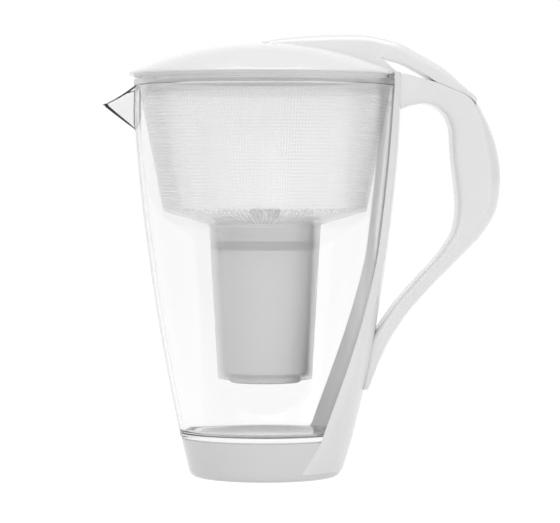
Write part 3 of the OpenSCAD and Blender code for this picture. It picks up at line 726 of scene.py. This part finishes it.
fin_crest = [
    (hinge_x, hinge_z + knuckle_r - 0.0001),
    (hinge_x + 0.005, crest_z + fin_rise * 0.38),
    (hinge_x + 0.015, crest_z + fin_rise * 0.62),
    (rim_x * 0.38, fin_top_z - 0.0009),
    (rim_x * 0.58, fin_top_z - 0.0004),
    (rim_x * 0.78, fin_top_z - 0.0006),
    (rim_x * 0.90, fin_top_z - 0.0024),
    (rim_x + past * 0.06, fin_top_z - 0.0054),
    (rim_x + past * 0.24, between(fin_top_z, tail[1], 0.25)),
    (rim_x + past * 0.42, between(fin_top_z, tail[1], 0.375)),
    (rim_x + past * 0.62, between(fin_top_z, tail[1], 0.53)),
    (rim_x + past * 0.82, between(fin_top_z, tail[1], 0.755)),
    (tail[0], tail[1] + 0.0012),
]
# Under the tail an open slit runs back from the lid, and then the tail lies on the handle.
slit_x = rim_x - 0.0095
slit_front = (slit_x, float(dome_z(slit_x, 0.0)) + 0.0054)
slit_end = outer_spot(2)
slit_mid = (between(slit_front[0], slit_end[0], 0.45), between(slit_front[1], slit_end[1], 0.28))
slit_curve = through([slit_front, slit_mid, slit_end], np.linspace(0, 1, 60))
seat_row = through(handle_rows, np.linspace(2, 5.3, 80)[1:] / (len(handle_rows) - 1))
seat_curve = handle_spot(seat_row[:, 2], seat_row[:, 3])
under_curve = np.concatenate([slit_curve, seat_curve]) + np.array([0, 0.0002])
seat_deep = np.linalg.norm(seat_curve - handle_spot(seat_row[:, 0], seat_row[:, 1]), axis=1)
seat_h = seat_deep * (1 - seat_row[:, 7])

crest = through(fin_crest, np.linspace(0, 1, 240))
fin_x = crest[:, 0]
fin_half = fin_half_w * between(0.88, 1, np.minimum(fin_x / rim_x, 1))
dome_low = dome_z(np.minimum(fin_x, rim_x), fin_half) - 0.0013
tail_low = np.interp(fin_x, under_curve[:, 0], under_curve[:, 1])
fin_low = np.where(fin_x < slit_x, dome_low, tail_low)
fall = np.clip((fin_x - rim_x) / past, 0, None)
fin_room = np.maximum(crest[:, 1] - fin_low - 0.0002, 0.0002)
fin_h = np.minimum(fin_round * (1 - 0.87 * fall * fall), fin_room)
p = np.linspace(0, math.pi, 49)
arc_y = squared(np.cos(p)[None, :], 2.8) * fin_half[:, None]
arc_z = (crest[:, 1] - fin_h)[:, None] + squared(np.sin(p)[None, :], 2.8) * fin_h[:, None]
sides = np.linspace(0, 1, 10)[:-1][None, :]
left_z = fin_low[:, None] + (arc_z[:, :1] - fin_low[:, None]) * sides
on_seat = np.interp(fin_x, [slit_end[0] - 0.005, slit_end[0] - 0.001], [0, 1])
round_h = np.interp(fin_x, seat_curve[:, 0], seat_h)
round_n = np.interp(fin_x, seat_curve[:, 0], seat_row[:, 6])
round_w = np.interp(fin_x, seat_curve[:, 0], seat_row[:, 4]) * handle_half_w


def rounding(y):
    """How far the handle's rounded top has fallen, y away from its middle."""
    full = 1 - np.clip(np.abs(y) / round_w[:, None], 0, 1) ** round_n[:, None]
    return (on_seat * round_h)[:, None] * (1 - full ** (1 / round_n[:, None]))


side_drop = rounding(fin_half[:, None])
under_y = fin_half[:, None] * np.linspace(-1, 1, 41)[1:-1][None, :]
under_z = fin_low[:, None] - rounding(under_y)
left_z = left_z - side_drop * (1 - sides)
fin_y = np.concatenate([fin_half[:, None] + 0 * sides, arc_y, -fin_half[:, None] + 0 * sides, under_y], 1)
fin_z = np.concatenate([left_z, arc_z, left_z[:, ::-1], under_z], 1)
fin_grid = np.stack([fin_x[:, None] + 0 * fin_y, fin_y, fin_z], -1)
fin = skin("fin", closed_rows(fin_grid), angle=40)

# The cheek fills the wedge between the slit and the dome, just inside the fin's sides.
cheek_end = rim_x + 0.0002
cheek_x = np.linspace(slit_x - 0.0006, cheek_end, 12)
cheek_heights = [slit_front[1] + 0.0003, float(dome_z(rim_x, 0.0)) + 0.0006]
cheek_low = dome_z(np.minimum(cheek_x, rim_x), fin_half_w) - 0.0002
cheek_top = np.maximum(np.interp(cheek_x, [slit_x, cheek_end], cheek_heights), cheek_low)
cheek_half = fin_half_w * between(0.88, 1, np.minimum(cheek_x / rim_x, 1)) - 0.00003
cheek_grid = np.stack(
    [
        np.stack([cheek_x, cheek_half, cheek_low], -1),
        np.stack([cheek_x, cheek_half, cheek_top], -1),
        np.stack([cheek_x, -cheek_half, cheek_top], -1),
        np.stack([cheek_x, -cheek_half, cheek_low], -1),
    ],
    1,
)
cheek = skin("cheek", closed_rows(cheek_grid), angle=30)

edge_x, edge_y = mouth_edge(lid_theta, flap_radius, mouth_back_x + flap_gap)
share = np.linspace(0, 1, 40)[:, None]
plate_x = flap_centre_x + (edge_x - flap_centre_x) * share
plate_y = edge_y * share
plate_top = np.stack([plate_x, plate_y, dome_z(plate_x, plate_y)], -1)
plate_low = np.stack([plate_x, plate_y, dome_z(plate_x, plate_y, lid_wall)], -1)[::-1]
plate = skin("plate", np.concatenate([plate_top, plate_low]), angle=30)

knuckle_turn = np.linspace(0, 2 * math.pi, 48, endpoint=False)
knuckle_end = [
    (pin_r, knuckle_half),
    (knuckle_r - knuckle_round, knuckle_half),
    (knuckle_r, knuckle_half - knuckle_round),
]
knuckle_rows = []
for r, at in [(r, -at) for r, at in knuckle_end] + knuckle_end[::-1]:
    x = hinge_x + r * np.cos(knuckle_turn)
    z = hinge_z + r * np.sin(knuckle_turn)
    knuckle_rows.append(np.stack([x, 0 * knuckle_turn + at, z], -1))
knuckle = skin("knuckle", np.array(knuckle_rows), along=True, angle=30)
flap = joined("flap_with_tail", [plate, fin, cheek, knuckle])
placed(flap, "flap", ["flap_shell"], white_moulding("white_plastic_flap"))


# The inner pieces keep their imported shape and get their finish here: satin white liners, pale
# cartridge parts, soft rings, fine screens, dark carbon granules, the drawn steel pin, and a base
# plate darkened to grey as painted shade.


def satin(name, tone, rough, grain_size, depth, clear_below=None):
    """Satin moulded plastic: a fine even grain in the colour, the gloss and the surface. Below the
    height clear_below it is thin and lets the light through."""
    made = Finish(name)
    grain = made.noise(grain_size, 3.0)
    cloud = made.noise(18.0, 2.0)
    tint = made.colour((0.5 * grain + 0.5 * cloud).clamped(), [c * 0.95 for c in tone], tone)
    relief = made.bump(grain, depth, 0.4)
    body = made.plastic({"Base Color": tint, "Roughness": rough + 0.1 * grain, "Normal": relief})
    if clear_below:
        low = ((clear_below - made.axes()[2]) * 2000).clamped()
        body = made.mixed(0.88 * low, body, made.open_air(1.0))
    return made.show(body)


liner_look = satin("liner_plastic", (0.91, 0.91, 0.91), 0.32, 1400.0, 0.0001)
skirt_look = satin("lid_liner_plastic", (0.91, 0.91, 0.91), 0.32, 1400.0, 0.0001, 0.2425)
grey_look = satin("cartridge_plastic", (0.92, 0.92, 0.92), 0.35, 1200.0, 0.0001)
ring_look = satin("soft_ring", (0.66, 0.66, 0.66), 0.55, 2200.0, 0.0001)
screen_look = satin("screen_mesh", (0.75, 0.75, 0.75), 0.6, 2600.0, 0.0002)
# Painted shade: the base plate's white plastic is coloured dark grey for the shade it lies in under the
# jug's floor.
base_plate_painted_shade_look = satin("base_floor_painted_shade", (0.34, 0.34, 0.34), 0.5, 1400.0, 0.0001)
granule_look = satin("granules", (0.20, 0.18, 0.17), 0.7, 900.0, 0.0006)
steel = Finish("pin_steel")
stretched = steel.node("ShaderNodeMapping", {}, {"Vector": steel.place, "Scale": (3000.0, 40.0, 3000.0)})
drawn = steel.node("ShaderNodeTexNoise", {}, {"Vector": stretched, "Scale": 1.0})
steel_look = steel.show(
    steel.plastic(
        {
            "Base Color": steel.colour(drawn, (0.55, 0.56, 0.57), (0.68, 0.69, 0.70)),
            "Metallic": 1.0,
            "Roughness": 0.25 + 0.15 * drawn,
        }
    )
)
for node, look in (
    ("base_plate", base_plate_painted_shade_look),
    ("foot_ring", ring_look),
    ("lid_liner", skirt_look),
    ("hinge_pin", steel_look),
    ("flap_liner", liner_look),
    ("tail_cover", liner_look),
    ("cartridge_cup", grey_look),
    ("cartridge_cap", grey_look),
    ("cartridge_seal", ring_look),
    ("inlet_screen", screen_look),
    ("outlet_screen", screen_look),
    ("filter_media", granule_look),
):
    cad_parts[node].data.materials.clear()
    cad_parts[node].data.materials.append(look)


# The studio is a wide white floor that keeps the pitcher's shadow, an even white surround with
# darker screens and brighter windows for the gloss, and soft lamps in front, above, left and right.

floor_mesh = bpy.data.meshes.new("floor")
floor_mesh.from_pydata([(-9, -9, 0), (9, -9, 0), (9, 9, 0), (-9, 9, 0)], [], [(0, 1, 2, 3)])
floor = bpy.data.objects.new("floor", floor_mesh)
bpy.context.scene.collection.objects.link(floor)
paper = Finish("white_floor")
fibre = paper.colour(paper.noise(300.0), (0.80, 0.80, 0.80), (0.82, 0.82, 0.82))
matt = paper.plastic({"Base Color": fibre, "Roughness": 0.8})
glow = paper.node("ShaderNodeEmission", {}, {"Color": (1, 1, 1, 1), "Strength": 1.16})
seen = paper.rays("Is Camera Ray", "Is Glossy Ray", "Is Transmission Ray")
bounced = paper.rays("Is Diffuse Ray")
floor.data.materials.append(paper.show(paper.mixed(0.86 * seen + 0.22 * bounced * (1 - seen), matt, glow)))

world = bpy.data.worlds.new("studio")
bpy.context.scene.world = world
world.use_nodes = True


class Surround(Finish):
    """The world's own node tree, with the same way of adding nodes."""

    def __init__(self, world):
        self.material = world
        self.tree = world.node_tree
        self.tree.nodes.clear()
        self.place = self.node("ShaderNodeTexCoord", {}, {}, "Generated")


air = Surround(world)
look_x, look_y, look_z = air.axes()
in_front = 1 - (look_y * 9.0).clamped()
near_level = 1 - ((look_z.math("ABSOLUTE") - 0.35) * 3.0).clamped()
screens = ((look_x.math("ABSOLUTE") - 0.72) * 4.0).clamped() * near_level
left_band = (1 - ((look_x + 0.66).math("ABSOLUTE") * 12.0 - 3.0).clamped()) * in_front
left_window = left_band * (1 - ((look_z.math("ABSOLUTE") - 0.30) * 12.0).clamped())
right_window = (1 - ((look_x - 0.60).math("ABSOLUTE") * 12.0 - 3.0).clamped()) * in_front
high = ((look_z - 0.25) * 3.0).clamped()
gloss_level = 1.0 - 0.6 * high - 0.6 * screens + 0.9 * left_window + 0.25 * right_window
plain_level = 0.31 + 0.34 * look_z.math("MAXIMUM", 0.0)
air_seen = air.rays("Is Camera Ray", "Is Transmission Ray")
air_gloss = air.rays("Is Glossy Ray")
air_level = air_seen + (1 - air_seen) * (air_gloss * gloss_level + (1 - air_gloss) * plain_level)
sky = air.node("ShaderNodeBackground", {}, {"Color": (1, 1, 1, 1), "Strength": air_level})
air.tree.links.new(sky.socket, air.tree.nodes.new("ShaderNodeOutputWorld").inputs["Surface"])


def lamp(name, place, size, power):
    """A soft square lamp at a place, turned to the pitcher's middle."""
    light = bpy.data.lights.new(name, "AREA")
    light.shape = "SQUARE"
    light.size = size
    light.energy = power
    made = bpy.data.objects.new(name, light)
    bpy.context.scene.collection.objects.link(made)
    made.location = place
    gap = np.array([0, 0, 0.13]) - np.array(place)
    flat = math.hypot(gap[0], gap[1])
    made.rotation_euler = (math.atan2(flat, -gap[2]), 0, math.atan2(gap[0], -gap[1]) + math.pi)
    return made


lamp("front_lamp", (-0.5, -2.0, 1.2), 1.2, 7.6)
lamp("top_lamp", (0.0, 0.2, 1.6), 1.2, 10.5)
lamp("left_lamp", (-1.6, -0.6, 0.7), 0.8, 1.0)
right_lamp = lamp("right_lamp", (1.4, -1.4, 0.4), 0.8, 4.6)
right_lamp.visible_glossy = False
right_lamp.visible_transmission = False

camera_data = bpy.data.cameras.new("camera")
camera_data.sensor_width = 36.0
camera_data.lens = 177.7
camera_data.clip_start = 0.05
camera = bpy.data.objects.new("camera", camera_data)
bpy.context.scene.collection.objects.link(camera)
turn = math.radians(-3.7)
tip = math.radians(1.6)
away = 1.70
aim = np.array([0.0092, 0.0, 0.1319])
back = np.array([math.sin(turn) * math.cos(tip), -math.cos(turn) * math.cos(tip), math.sin(tip)])
camera.location = aim + away * back
camera.rotation_euler = (math.pi / 2 - tip, 0, turn)
bpy.context.scene.camera = camera
bpy.context.scene.view_settings.view_transform = "Standard"
